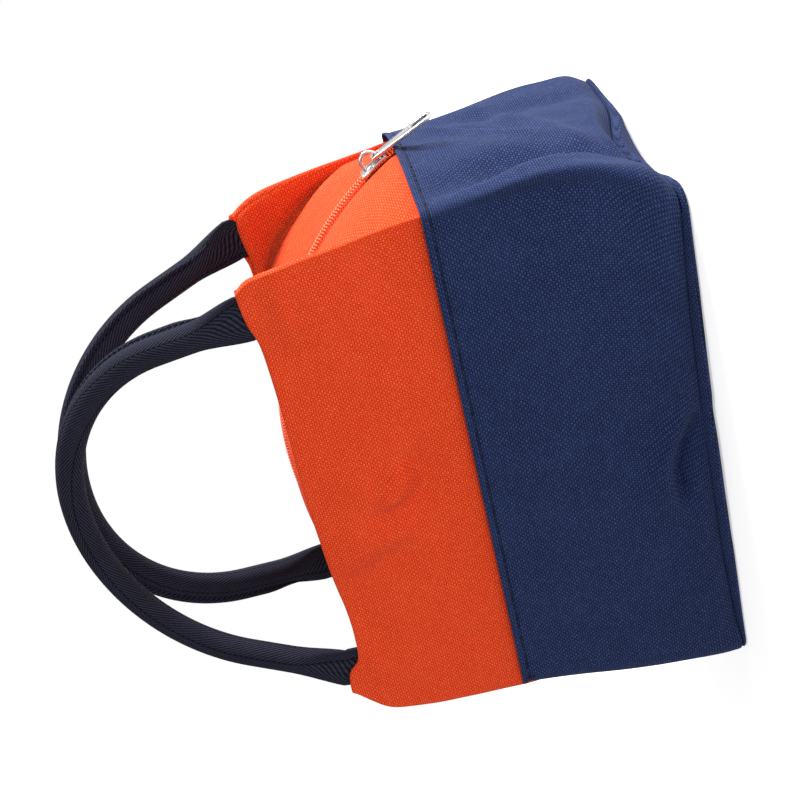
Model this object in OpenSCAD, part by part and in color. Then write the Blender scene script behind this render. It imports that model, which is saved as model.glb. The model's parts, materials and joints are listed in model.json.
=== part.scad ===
// Insulated canvas lunch bag: two-tone body, domed zip lid, two padded webbing handles.
// +X runs along the bag towards the closed end of the zip, -Y is the front, +Z is up.
// The origin is the middle of the base, on the surface that the bag stands on. Millimetres.

/* [Body] */
// Length of the base
base_length = 218; // [190:1:250]
// Front to back size of the base
base_depth = 148; // [130:1:170]
// Height of the front and back panels
body_height = 170; // [155:1:190]
// Height of the dark lower band
band_height = 97; // [85:1:110]
// Greatest length of the lower band
belly_length = 232; // [205:1:260]
// Height at which the band is longest
belly_height = 36; // [20:1:60]
// Length at the band's top edge
band_length = 226; // [200:1:250]
// Depth at the band's top edge
band_depth = 108; // [95:1:125]
// Length between the tips of the two ears of a panel
top_length = 204; // [185:1:220]
// Depth between the top edges of the two panels
top_depth = 96; // [85:1:105]
// How far the middle of each side stands out at the band's top edge
side_bulge = 9.5; // [4:0.5:12]
// Corner radius of the base
base_corner = 12; // [8:1:20]
// Corner radius at the band's top edge
band_corner = 6; // [4:1:10]
// Distance of the band's topstitching below its top edge
stitch_inset = 3.5; // [2:0.5:6]
// Cut-off at each ear's tip
ear_cut = 6; // [2:1:12]

/* [Layers] */
// Thickness of the canvas
canvas = 1.2; // [0.8:0.1:1.6]
// Thickness of the insulating foam
foam = 4; // [2:0.5:6]
// Thickness of the foil lining
foil = 0.4; // [0.3:0.1:0.8]
// Clearance between neighbouring layers
layer_gap = 0.15; // [0.1:0.05:0.3]
// How far the liner's ends stay inside the canvas
liner_ease = 7.5; // [6:0.5:12]
// Seam allowance of the panels behind the band
tuck = 8; // [4:1:12]

/* [Zip] */
// Depth of the lid's crown, along the zip, below the panels' top edges
lid_drop = 0.5; // [-6:0.5:12]
// Half of the free slot between the two coils
zip_slot = 0.7; // [0.6:0.05:0.9]
// Width of one coil
coil_width = 2.3; // [2:0.1:3]
// Height of the coils
coil_height = 2.2; // [1.8:0.1:2.6]
// Width of one woven tape, from the slot
tape_width = 13; // [10:1:14]
// Thickness of a tape
tape = 0.6; // [0.4:0.1:0.8]
// Length of the slider
slider_length = 13; // [11:0.5:15]
// Thickness of the slider's plates
slider_plate = 1.2; // [1:0.1:1.5]
// Clearance of the slider on the coils and tapes
slider_gap = 0.25; // [0.2:0.05:0.4]
// Distance from the band's edge to the slider when the zip is shut
slider_stop = 2.5; // [2:0.5:8]
// Length of the pull tab, from its hinge
pull_length = 31; // [24:1:38]
// Width of the pull tab at its tip
pull_width = 7.4; // [6:0.2:9]
// Thickness of the pull tab
pull_plate = 1.3; // [1:0.1:1.6]
// Angle by which the resting pull tab dips below the zip's tangent
pull_dip = 8; // [0:1:9]

/* [Handles] */
// Distance from an ear's tip to the middle of the handle's end in it
handle_inset = 16; // [14:1:30]
// Height of the handle's centre line above its ends, along its own plane
handle_rise = 101; // [85:1:115]
// Gap between the two handles where they lean together
handle_gap = 3; // [2:0.5:12]
// How far each leg leans in from its end, in degrees
leg_lean = 14; // [8:1:20]
// Outer diameter of the rolled webbing
handle_diameter = 12.5; // [10:0.5:13]
// Thickness of the webbing
webbing = 1.2; // [0.9:0.1:1.5]
// Width of the flat webbing ends
end_width = 20; // [16:1:24]
// Depth of the webbing ends below the ear's edge
end_depth = 25; // [15:1:35]
// Space between the two plies of an ear for the webbing ends
ear_ply = 2.6; // [2.4:0.1:3]
// Length over which a leg goes from flat to round
flat_run = 24; // [18:1:32]
// Diameter of the sewing thread
thread = 0.7; // [0.4:0.1:0.9]

/* [Hidden] */

orange = [0.93, 0.30, 0.09];
navy = [0.09, 0.16, 0.36];
black_navy = [0.05, 0.06, 0.11];
foam_white = [0.93, 0.93, 0.91];
foil_silver = [0.78, 0.79, 0.81];
nickel = [0.80, 0.80, 0.80];

far = 400; // larger than the bag, for cutting shapes
corner_steps = 4;
side_steps = 6;
stitch_levels = [band_height - stitch_inset - thread / 2, band_height - stitch_inset + thread / 2];
band_levels = concat(
    [canvas + layer_gap, 12, belly_height, (belly_height + band_height) / 2], stitch_levels, band_height
);

// The zip runs on a circle about an axis along Y, through the crown and the band's top edge.
lid_height = body_height - lid_drop;
edge_height = band_height + 2 * layer_gap;
zip_reach = band_length / 2 + side_bulge - canvas - layer_gap;
zip_axis = (pow(lid_height, 2) - pow(zip_reach, 2) - pow(edge_height, 2))
    / (2 * (lid_height - edge_height));
lid_radius = lid_height - zip_axis;
lid_flat = zip_slot + tape_width + 1; // half width of the lid's level strip along the zip
lid_edge = band_depth / 2;
// The lid falls towards its front and back seams, so that its ends go down inside the band's corners.
lid_fall = lid_radius - norm([band_length / 2 - canvas - layer_gap - 1, edge_height - zip_axis]);
window = zip_slot + coil_width + 0.4; // half width of the slot that shows the coils
tape_top = lid_radius - canvas - layer_gap;
coil_top = tape_top + coil_height;

// The slider's top plate carries a half ring, which is the pull tab's hinge.
slider_top = coil_top + slider_gap + slider_plate;
slider_bottom = tape_top - tape - slider_gap - slider_plate;
slider_half_angle = slider_length / 2 / lid_radius * 180 / PI;
slider_width = 2 * (zip_slot + coil_width) + 3;
slider_angle = asin((edge_height - zip_axis + slider_stop) / lid_radius) + slider_half_angle;
ring_radius = 3.6;
ring_wire = 0.8;
hinge_lift = pull_plate / 2 + 1.2;
hinge_radius = slider_top + hinge_lift;
eye_gap = 0.3;
eye_width = 5.2;

handle_radius = handle_diameter / 2;
core_radius = handle_radius - webbing - 0.1;
half_span = top_length / 2 - handle_inset;
arch_radius = (half_span * cos(leg_lean) - handle_rise * sin(leg_lean)) / (1 - sin(leg_lean));
arch_centre = handle_rise - arch_radius;
leg_length = (half_span - arch_radius * cos(leg_lean)) / sin(leg_lean);
end_plate = 2 * webbing + 0.4;

// A handle folds over the top edge of the ear's outer ply. In its own plane it starts a little
// above that edge, and it lies just inside it.
fold_lift = 0.5;
fold_start = 1.5;
fold_offset = canvas / 2 + 0.25 + end_plate / 2;
fold_y = top_depth / 2 - canvas - layer_gap - canvas / 2;
lean_reach = fold_y - handle_radius - handle_gap / 2;
handle_lean = asin(lean_reach / norm([handle_rise, fold_offset])) - atan(fold_offset / handle_rise);
leg_thinner = 0.05; // the legs are this much thinner than the arch that they run into

function mix(a, b, t) = a + (b - a) * t;

// Outer half depth and half length of the bag at a height.
function depth_at(z) = z < band_height
    ? mix(base_depth, band_depth, z / band_height) / 2
    : mix(band_depth, top_depth, (z - band_height) / (body_height - band_height)) / 2;
function length_at(z) = lookup(z, [
    [0, base_length / 2], [belly_height, belly_length / 2], [band_height, band_length / 2],
    [body_height, top_length / 2]
]);
function corner_at(z) = mix(base_corner, band_corner, z / band_height);
function ply_at(z) = ear_ply * max(0, z - band_height) / (body_height - band_height);

// Outer face of each layer of the front wall, from the outside in.
function panel_face(z) = depth_at(z) - canvas - layer_gap;
function flank_face(z) = panel_face(z) - canvas - layer_gap - ply_at(z);
function foam_face(z) = flank_face(z) - canvas - layer_gap;
function foil_face(z) = foam_face(z) - foam - layer_gap;
function liner_end(z) = length_at(z) - liner_ease;

// One level of the bag: a rounded rectangle whose two short sides bulge.
function corner_arc(x, y, r, start) =
    [for (k = [0:corner_steps]) let (a = start + 90 * k / corner_steps) [x + r * cos(a), y + r * sin(a)]];
function side_arc(x, y, bulge, way) =
    [for (k = [1:side_steps - 1]) let (t = way * (2 * k / side_steps - 1))
        [way * (x + bulge * (1 - t * t)), y * t]];
function outline(z, inset) =
    let (r = max(corner_at(z) - inset, 1), x = length_at(z) - inset - r, y = depth_at(z) - inset - r,
         bulge = side_bulge * z / band_height)
    concat(
        corner_arc(x, -y, r, -90), side_arc(x + r, y, bulge, 1), corner_arc(x, y, r, 0),
        corner_arc(-x, y, r, 90), side_arc(x + r, y, bulge, -1), corner_arc(-x, -y, r, 180)
    );
function at_height(points, z) = [for (p = points) [p.x, p.y, z]];

// A closed skin through a loop of outlines that all have the same number of points.
module skin(levels) {
    n = len(levels[0]);
    m = len(levels);
    polyhedron(
        points = [for (level = levels) each level],
        faces = [
            for (i = [0:m - 1], j = [0:n - 1])
                let (next = (j + 1) % n, above = (i + 1) % m * n)
                let (a = i * n + j, b = i * n + next, c = above + next, d = above + j)
                each [[a, c, b], [a, d, c]]
        ]
    );
}

module wrap(outer_inset, inner_inset, levels) {
    outer = [for (z = levels) at_height(outline(z, outer_inset), z)];
    inner = [for (k = [len(levels) - 1:-1:0]) at_height(outline(levels[k], inner_inset), levels[k])];
    skin(concat(outer, inner));
}

// Shapes drawn flat in YZ and run along X, and shapes drawn flat in XZ and run along Y.
module along_x(length) {
    rotate([90, 0, 90]) linear_extrude(length, center = true) children();
}
module along_y(length) {
    rotate([90, 0, 0]) linear_extrude(length, center = true) children();
}

// A sheet of the front wall between two faces, given as lists of [height, distance from the middle].
module front_sheet(outer, inner) {
    along_x(far) polygon(concat(
        [for (p = outer) [-p[1], p[0]]],
        [for (k = [len(inner) - 1:-1:0]) [-inner[k][1], inner[k][0]]]
    ));
}

// Everything inside the front half of a layer's face, for trimming the lid's strips.
module front_room(face) {
    top = face[len(face) - 1][0];
    along_x(far) polygon(concat([[0, edge_height]], [for (p = face) [-p[1], p[0]]], [[0, top]]));
}

// Part of a circle about the zip's axis, from a flat outline of [radius, y] points.
module around_zip(from_angle, to_angle) {
    translate([0, 0, zip_axis]) rotate([90, 0, 0]) rotate([0, 0, from_angle])
        rotate_extrude(angle = to_angle - from_angle, $fn = 180) children();
}

module disc(radius) {
    translate([0, zip_axis]) circle(r = radius, $fn = 180);
}

module to_back() {
    mirror([0, 1, 0]) children();
}

// ---- canvas ----

module lower_band() {
    color(navy) wrap(0, canvas, band_levels);
}

module base_panel() {
    color(navy) linear_extrude(canvas) polygon(outline(0, 0));
}

module panel_outline() {
    ear = top_length / 2;
    hem = band_length / 2 - tuck;
    polygon([
        [-hem, band_height - tuck], [hem, band_height - tuck], [hem, edge_height],
        [band_length / 2, edge_height], [ear, body_height - ear_cut], [ear - ear_cut, body_height],
        [ear_cut - ear, body_height], [-ear, body_height - ear_cut], [-band_length / 2, edge_height],
        [-hem, edge_height]
    ]);
}

module upper_panel() {
    levels = [band_height - tuck, band_height, body_height];
    color(orange) intersection() {
        front_sheet(
            [for (z = levels) [z, panel_face(z)]],
            [for (z = levels) [z, panel_face(z) - canvas]]
        );
        along_y(far) panel_outline();
    }
}

// One strip of the lid: level along the zip and falling to its outer seam.
module lid_strip(from_y, drop, thick) {
    polygon([
        [lid_radius - drop, from_y], [lid_radius - drop, lid_flat],
        [lid_radius - drop - lid_fall, lid_edge], [lid_radius - drop - lid_fall - thick, lid_edge],
        [lid_radius - drop - thick, lid_flat], [lid_radius - drop - thick, from_y]
    ]);
}

module lid_half(from_y, drop, thick, face) {
    intersection() {
        around_zip(20, 160) lid_strip(from_y, drop, thick);
        front_room(face);
    }
}

module gusset() {
    levels = [edge_height, body_height];
    color(orange) {
        lid_half(window, 0, canvas, [for (z = [edge_height, body_height]) [z, flank_face(z) - canvas]]);
        intersection() {
            front_sheet(
                [for (z = levels) [z, flank_face(z)]],
                [for (z = levels) [z, flank_face(z) - canvas]]
            );
            along_y(far) difference() {
                panel_outline();
                disc(lid_radius - lid_fall - canvas);
            }
        }
    }
}

module band_topstitch() {
    color(navy) wrap(-thread - layer_gap / 2, -layer_gap / 2, stitch_levels);
}

// ---- zip ----

module zip_tape() {
    end_angle = asin((edge_height + 1 - zip_axis) / lid_radius);
    color(orange) around_zip(end_angle, 180 - end_angle)
        translate([tape_top - tape, zip_slot]) square([tape, tape_width]);
}

module zip_coil() {
    end_angle = asin((edge_height + 1.5 - zip_axis) / lid_radius);
    color(orange) around_zip(end_angle, 180 - end_angle)
        translate([tape_top, zip_slot]) square([coil_height, coil_width]);
}

// Seen from outside, with x along the zip: a shield that narrows to the tail.
module slider_shape() {
    half = slider_length / 2;
    wide = slider_width / 2;
    narrow = wide - 1.2;
    polygon([
        [-half, -narrow], [half * 0.2, -narrow], [half * 0.6, -wide], [half - 1.2, -wide],
        [half, 1.2 - wide], [half, wide - 1.2], [half - 1.2, wide], [half * 0.6, wide],
        [half * 0.2, narrow], [-half, narrow]
    ]);
}

// Puts a shape drawn about the lid's crown, with x along the zip, at an angle round the zip.
module on_zip(angle) {
    translate([0, 0, zip_axis]) rotate([0, 90 - angle, 0]) children();
}

module zip_slider() {
    half = slider_width / 2;
    color(nickel) {
        intersection() {
            around_zip(slider_angle - slider_half_angle, slider_angle + slider_half_angle) union() {
                translate([slider_top - slider_plate, -half]) square([slider_plate, 2 * half]);
                translate([slider_bottom, -half]) square([slider_plate, 2 * half]);
            }
            on_zip(slider_angle) linear_extrude(far) mirror([1, 0]) slider_shape();
        }
        // the neck that parts the two coils
        on_zip(slider_angle) translate([-slider_length / 2 + 2.5, 0, slider_bottom + slider_plate / 2])
            linear_extrude(slider_top - slider_bottom - slider_plate)
                square([3, 2 * (zip_slot - slider_gap)], center = true);
        // the half ring and its two feet
        on_zip(slider_angle) translate([0, 0, hinge_radius]) {
            rotate([90, 0, 0]) rotate_extrude(angle = 180, $fn = 48)
                translate([ring_radius, 0]) circle(r = ring_wire, $fn = 24);
            foot = hinge_lift + slider_plate / 2;
            for (x = [-ring_radius, ring_radius])
                translate([x, 0, -foot]) cylinder(h = foot, r = ring_wire, $fn = 24);
        }
    }
}

// Drawn flat with x away from the hinge: an eye round the ring's wire, then a blade that widens
// to a round tip with a slot in it.
module pull_shape() {
    eye_reach = ring_wire + eye_gap;
    eye_start = ring_radius - eye_reach - 1.1;
    slot = pull_width - 3.4;
    slot_length = 5;
    tip = pull_length - pull_width / 2;
    difference() {
        union() {
            polygon([
                [eye_start, -eye_width / 2], [ring_radius + 4, -eye_width / 2], [tip, -pull_width / 2],
                [tip, pull_width / 2], [ring_radius + 4, eye_width / 2], [eye_start, eye_width / 2]
            ]);
            translate([tip, 0]) circle(d = pull_width, $fn = 48);
        }
        translate([ring_radius - eye_reach, -eye_reach]) square([2 * eye_reach, 2 * eye_reach]);
        translate([tip, 0]) circle(d = slot, $fn = 32);
        translate([tip - slot_length, -slot / 2]) square([slot_length, slot]);
        translate([tip - slot_length, 0]) circle(d = slot, $fn = 32);
    }
}

module zip_pull_tab() {
    color(nickel) on_zip(slider_angle) translate([0, 0, hinge_radius]) rotate([0, pull_dip, 0])
        linear_extrude(pull_plate, center = true) pull_shape();
}

// ---- handles ----

// Puts a handle drawn in its own XZ plane, with its fold on the X axis, in place at the front.
module at_front_handle() {
    translate([0, -fold_y, body_height + fold_lift]) rotate([-handle_lean, 0, 0])
        translate([0, fold_offset, 0]) children();
}

// A round bar along the handle's centre line, its legs starting a little way from their ends.
module handle_run(radius, start) {
    translate([0, 0, arch_centre]) rotate([90, 0, 0]) rotate([0, 0, leg_lean])
        rotate_extrude(angle = 180 - 2 * leg_lean, $fn = 128)
            translate([arch_radius, 0]) circle(r = radius, $fn = 32);
    for (side = [-1, 1])
        translate([side * half_span, 0, 0]) rotate([0, -side * leg_lean, 0])
            translate([0, 0, start])
                cylinder(h = leg_length + 1 - start, r = radius - leg_thinner, $fn = 32);
}

// From a flat doubled webbing at the ear to the round of the handle.
module handle_foot(side) {
    hull() {
        translate([side * half_span, 0, fold_start + 0.5]) cube([end_width, end_plate, 1], center = true);
        translate([side * half_span, 0, 0]) rotate([0, -side * leg_lean, 0])
            translate([0, 0, flat_run - 1]) cylinder(h = 1, r = handle_radius, $fn = 32);
    }
}

module handle_webbing() {
    color(black_navy) at_front_handle() difference() {
        union() {
            handle_run(handle_radius, flat_run - 0.5);
            for (side = [-1, 1]) handle_foot(side);
        }
        handle_run(core_radius + 0.1, flat_run - 5);
    }
}

module handle_core() {
    color(foam_white) at_front_handle() handle_run(core_radius, flat_run - 4);
}

module handle_thread() {
    color(navy) at_front_handle()
        translate([0, handle_radius + thread / 2 + 0.05, 0]) handle_run(thread / 2, flat_run);
}

module handle_ends() {
    levels = [body_height - end_depth, body_height];
    color(black_navy) intersection() {
        front_sheet(
            [for (z = levels) [z, panel_face(z) - canvas - layer_gap]],
            [for (z = levels) [z, flank_face(z) + layer_gap]]
        );
        along_y(far) for (side = [-1, 1])
            translate([side * half_span - end_width / 2, levels[0]])
                square([end_width, levels[1] - levels[0]]);
    }
}

// ---- liner ----

liner_bottom = canvas + layer_gap + foam + layer_gap;
lid_foam_drop = canvas + tape + 3 * layer_gap;
lid_foil_drop = lid_foam_drop + foam + layer_gap;
liner_top = body_height - 2;
foam_rim = lid_radius - lid_fall - lid_foil_drop - foil - layer_gap;
side_levels = [liner_bottom, belly_height, band_height];

// Outline of the liner's front: tapered below, and under the lid's arch above.
module liner_outline(end_inset) {
    levels = concat(side_levels, [liner_top]);
    intersection() {
        polygon(concat(
            [for (z = levels) [liner_end(z) - end_inset, z]],
            [for (k = [len(levels) - 1:-1:0]) [end_inset - liner_end(levels[k]), levels[k]]]
        ));
        disc(foam_rim);
    }
}

module liner_front(thick, end_inset) {
    levels = [liner_bottom, band_height, liner_top];
    intersection() {
        front_sheet(
            [for (z = levels) [z, thick == foam ? foam_face(z) : foil_face(z)]],
            [for (z = levels) [z, (thick == foam ? foam_face(z) : foil_face(z)) - thick]]
        );
        along_y(far) liner_outline(end_inset);
    }
}

// A side wall between two insets from the liner's end, held inside the given face of the front wall.
module liner_side(from_inset, to_inset, inner_face) {
    intersection() {
        along_y(far) polygon(concat(
            [for (z = side_levels) [liner_end(z) - from_inset, z]],
            [for (k = [len(side_levels) - 1:-1:0]) [liner_end(side_levels[k]) - to_inset, side_levels[k]]]
        ));
        along_x(far) polygon(concat(
            [for (p = inner_face) [-p[1], p[0]]],
            [for (k = [len(inner_face) - 1:-1:0]) [inner_face[k][1], inner_face[k][0]]]
        ));
    }
}

module insulation_front() {
    color(foam_white) liner_front(foam, 0);
}

module insulation_right() {
    face = [for (z = [liner_bottom, band_height]) [z, foam_face(z) - foam - layer_gap]];
    color(foam_white) liner_side(0, foam, face);
}

module insulation_base() {
    color(foam_white) translate([0, 0, canvas + layer_gap]) linear_extrude(foam)
        polygon(outline(0, canvas + 2.5));
}

module insulation_lid() {
    color(foam_white) lid_half(
        lid_flat, lid_foam_drop, foam, [for (z = [edge_height, liner_top]) [z, foam_face(z)]]
    );
}

module lining_front() {
    color(foil_silver) liner_front(foil, foam + layer_gap);
}

module lining_right() {
    face = [for (z = [liner_bottom, band_height]) [z, foil_face(z) - foil - layer_gap]];
    color(foil_silver) liner_side(foam + layer_gap, foam + layer_gap + foil, face);
}

module lining_base() {
    inset = foam + foil + 4 * layer_gap;
    z = liner_bottom;
    x = liner_end(z) - inset;
    y = foil_face(z) - foil - 2 * layer_gap;
    color(foil_silver) translate([-x, -y, z]) cube([2 * x, 2 * y, foil]);
}

module lining_lid() {
    color(foil_silver) lid_half(
        window + 5, lid_foil_drop, foil, [for (z = [edge_height, liner_top]) [z, foam_face(z)]]
    );
}

module to_left() {
    mirror([1, 0, 0]) children();
}

lower_band();
base_panel();
upper_panel();  // front_upper_panel
to_back() upper_panel();  // back_upper_panel
gusset();  // gusset_front
to_back() gusset();  // gusset_back
band_topstitch();
zip_tape();  // zip_tape_front
to_back() zip_tape();  // zip_tape_back
zip_coil();  // zip_coil_front
to_back() zip_coil();  // zip_coil_back
zip_slider();
zip_pull_tab();
handle_webbing();  // front_handle_webbing
handle_core();  // front_handle_core
handle_thread();  // front_handle_thread
handle_ends();  // front_handle_ends
to_back() handle_webbing();  // back_handle_webbing
to_back() handle_core();  // back_handle_core
to_back() handle_thread();  // back_handle_thread
to_back() handle_ends();  // back_handle_ends
insulation_front();
to_back() insulation_front();  // insulation_back
insulation_right();
to_left() insulation_right();  // insulation_left
insulation_base();
insulation_lid();  // insulation_lid_front
to_back() insulation_lid();  // insulation_lid_back
lining_front();
to_back() lining_front();  // lining_back
lining_right();
to_left() lining_right();  // lining_left
lining_base();
lining_lid();  // lining_lid_front
to_back() lining_lid();  // lining_lid_back
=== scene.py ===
import bisect
import json
import math
import bmesh
import bpy
from mathutils import Matrix, Quaternion, Vector, noise


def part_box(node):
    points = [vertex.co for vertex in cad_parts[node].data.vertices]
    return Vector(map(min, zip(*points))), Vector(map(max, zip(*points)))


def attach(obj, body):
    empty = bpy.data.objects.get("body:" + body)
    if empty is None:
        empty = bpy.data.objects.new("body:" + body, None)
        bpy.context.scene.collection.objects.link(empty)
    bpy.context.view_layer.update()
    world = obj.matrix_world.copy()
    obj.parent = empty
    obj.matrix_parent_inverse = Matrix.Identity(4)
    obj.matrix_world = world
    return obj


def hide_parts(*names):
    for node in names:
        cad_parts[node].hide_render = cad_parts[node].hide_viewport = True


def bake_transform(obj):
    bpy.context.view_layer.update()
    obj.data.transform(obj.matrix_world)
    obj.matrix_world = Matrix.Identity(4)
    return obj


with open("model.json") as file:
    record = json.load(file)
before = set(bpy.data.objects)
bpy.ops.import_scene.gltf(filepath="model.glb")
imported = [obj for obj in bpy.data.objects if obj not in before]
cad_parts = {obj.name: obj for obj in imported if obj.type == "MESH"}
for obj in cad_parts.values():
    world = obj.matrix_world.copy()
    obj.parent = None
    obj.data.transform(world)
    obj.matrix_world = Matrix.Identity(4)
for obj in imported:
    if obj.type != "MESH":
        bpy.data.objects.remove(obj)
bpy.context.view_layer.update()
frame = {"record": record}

# Sizes are in millimetres and degrees, apart from the floor's and the lamps', which are in metres.
# Meshes are scaled to metres when they are made.
mm = 0.001
joints = {j["name"]: j for j in frame["record"]["behaviour"]["joints"]}
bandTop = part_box("lower_band")[1][2] / mm
stitchDrop = 3.5  # from the band's top edge down to its topstitching


def smooth(low, high, value):
    t = min(1, max(0, (value - low) / (high - low)))
    return t * t * (3 - 2 * t)


def along(points, value):  # a smooth curve through [place, size] points
    places = [p[0] for p in points]
    if value <= places[0]:
        return points[0][1]
    if value >= places[-1]:
        return points[-1][1]
    k = bisect.bisect_right(places, value) - 1
    before, after = points[max(0, k - 1)], points[min(len(points) - 1, k + 2)]
    a, b = points[k], points[k + 1]
    t = (value - a[0]) / (b[0] - a[0])
    slopeA = (b[1] - before[1]) / (b[0] - before[0]) * (b[0] - a[0])
    slopeB = (after[1] - a[1]) / (after[0] - a[0]) * (b[0] - a[0])
    return (a[1] * (1 + 2 * t) + slopeA * t) * (1 - t) ** 2 + (b[1] * (3 - 2 * t) + slopeB * (t - 1)) * t * t


def ripple(x, z, size, seed):  # gentle unevenness between -1 and 1
    return noise.noise(Vector((x / size, z / size, seed)))


class Wire:  # a shader socket that Python arithmetic works on
    tree = None

    def __init__(self, socket):
        self.socket = socket

    def maths(self, operation, other=0.0, swap=False):
        first, second = (other, self) if swap else (self, other)
        return Wire(addNode("ShaderNodeMath", {"operation": operation}, {0: first, 1: second}).outputs[0])

    def __add__(self, other):
        return self.maths("ADD", other)

    def __radd__(self, other):
        return self.maths("ADD", other)

    def __sub__(self, other):
        return self.maths("SUBTRACT", other)

    def __rsub__(self, other):
        return self.maths("SUBTRACT", other, True)

    def __mul__(self, other):
        return self.maths("MULTIPLY", other)

    def __rmul__(self, other):
        return self.maths("MULTIPLY", other)

    def __truediv__(self, other):
        return self.maths("DIVIDE", other)

    def __rtruediv__(self, other):
        return self.maths("DIVIDE", other, True)

    def __pow__(self, other):
        return self.maths("POWER", other)

    def __rpow__(self, other):
        return self.maths("POWER", other, True)

    def __mod__(self, other):
        return self.maths("FLOORED_MODULO", other)

    def __rmod__(self, other):
        return self.maths("FLOORED_MODULO", other, True)


def addNode(kind, settings=None, values=None):
    node = Wire.tree.nodes.new(kind)
    for key, value in (settings or {}).items():
        setattr(node, key, value)
    for key, value in (values or {}).items():
        if isinstance(value, Wire):
            Wire.tree.links.new(value.socket, node.inputs[key])
        else:
            node.inputs[key].default_value = value
    return node


def wire(kind, output, settings=None, values=None):
    return Wire(addNode(kind, settings, values).outputs[output])


def newMaterial(name, constants):
    material = bpy.data.materials.new(name)
    material.use_nodes = True
    Wire.tree = material.node_tree
    shader = Wire.tree.nodes["Principled BSDF"]
    for key, value in constants.items():
        shader.inputs[key].default_value = value
    return material, shader


def connect(shader, **links):
    for key, value in links.items():
        Wire.tree.links.new(value.socket, shader.inputs[key.replace("_", " ")])


def mixColour(factor, first, second):
    return wire("ShaderNodeMix", 2, {"data_type": "RGBA"}, {0: factor, 6: first, 7: second})


def bump(height, depth, strength=1.0):
    return wire("ShaderNodeBump", 0, None, {"Height": height, "Distance": depth * mm, "Strength": strength})


def uvParts(name):
    uv = wire("ShaderNodeUVMap", 0, {"uv_map": name})
    parts = addNode("ShaderNodeSeparateXYZ", None, {0: uv})
    return uv, Wire(parts.outputs[0]), Wire(parts.outputs[1])


def fract(value):
    return value.maths("FRACT")


def cloudy(coordinates, size, detail=3.0):  # noise of about the given size
    values = {"Vector": coordinates, "Scale": 1 / (size * mm), "Detail": detail}
    return wire("ShaderNodeTexNoise", 0, None, values)


def objectPlace():
    return wire("ShaderNodeTexCoord", 3)


canvasCloth = {
    "yarn": 0.97,  # distance between neighbouring yarns
    "yarnDepth": 0.32,
    "warpHeight": 0.62,  # the warp lies lower than the weft
    "wander": 0.35, "wanderSize": 5,  # how far the yarns stray, in yarns, and over what distance
    "patchSize": 22,  # of the slightly paler patches
    "grooveWidth": 0.9, "grooveShade": 0.45,  # the sewn groove, and how much painted shade darkens the cloth along it
    # float is a yarn on top, the next colour is where it dips, darkened by painted shade, and slub is a thick
    # pale stretch of it
    "orange": {
        "float": (0.74, 0.085, 0.019, 1), "under": (0.50, 0.020, 0.003, 1), "slub": (0.86, 0.130, 0.042, 1),
    },
    "navy": {
        "float": (0.022, 0.041, 0.132, 1), "under": (0.003, 0.005, 0.020, 1), "slub": (0.042, 0.072, 0.19, 1),
    },
}


def canvasMaterial(name, tones, groove=0.0):  # groove is the height of a sewn groove, along which painted shade darkens the cloth, or 0 for none
    material, shader = newMaterial(
        name, {"Sheen Weight": 0.02, "Sheen Roughness": 0.5, "Specular IOR Level": 0.12}
    )
    uv, u, v = uvParts("cloth")
    pitch = canvasCloth["yarn"] * mm
    stray = (cloudy(uv, canvasCloth["wanderSize"]) - 0.5) * canvasCloth["wander"]
    across, up = u / pitch + stray, v / pitch + stray
    column, row = across.maths("FLOOR"), up.maths("FLOOR")
    checker = (column + row) % 2  # 1 where the weft lies on top
    a, b = (fract(across) - 0.5) * 2, (fract(up) - 0.5) * 2
    weft = (1 - b * b).maths("SQRT") * (1 - a * a * 0.55)
    warp = (1 - a * a).maths("SQRT") * (1 - b * b * 0.75)
    height = checker * weft + (1 - checker) * warp * canvasCloth["warpHeight"]
    cell = wire("ShaderNodeCombineXYZ", 0, None, {0: column, 1: row})
    # luck is a number for each crossing of two yarns
    luck = wire("ShaderNodeTexWhiteNoise", 0, {"noise_dimensions": "2D"}, {"Vector": cell})
    patch = cloudy(uv, canvasCloth["patchSize"])
    # painted shade: the cloth is darker where the yarns dip, with a little random tone from luck
    lit = ((height - 0.24) * 1.5 + (luck - 0.5) * 0.22).maths("MAXIMUM", 0.0).maths("MINIMUM", 1.0)
    cloth = mixColour(lit, tones["under"], tones["float"])
    bright = (luck ** 3) * checker * weft * 0.4 + (patch - 0.5) * 0.25
    cloth = mixColour(bright.maths("MAXIMUM", 0.0), cloth, tones["slub"])
    if groove:
        # painted shade along the sewn groove, down to a fifth of the dip colour
        away = ((v - groove * mm) / (canvasCloth["grooveWidth"] * mm)) ** 2
        dark = (1 - away).maths("MAXIMUM", 0.0) * canvasCloth["grooveShade"]
        cloth = mixColour(dark, cloth, tuple(0.2 * tone for tone in tones["under"][:3]) + (1,))
    rough = 0.86 + (1 - height) * 0.1
    relief = height * (0.8 + luck * 0.35)
    connect(shader, Base_Color=cloth, Roughness=rough, Normal=bump(relief, canvasCloth["yarnDepth"], 0.9))
    return material


webbingCloth = {
    "ribAlong": 2.5, "ribAcross": 1.25,  # distance between ribs, along the webbing and across it
    "stripe": 9.8,  # width of one arm of the herringbone
    "yarn": 0.75, "depth": 0.34,
    # painted shade: dark is the ribs' grooves in shade and light is their lit crests
    "dark": (0.0008, 0.0008, 0.0018, 1),
    "light": (0.027, 0.028, 0.050, 1),
}


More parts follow.
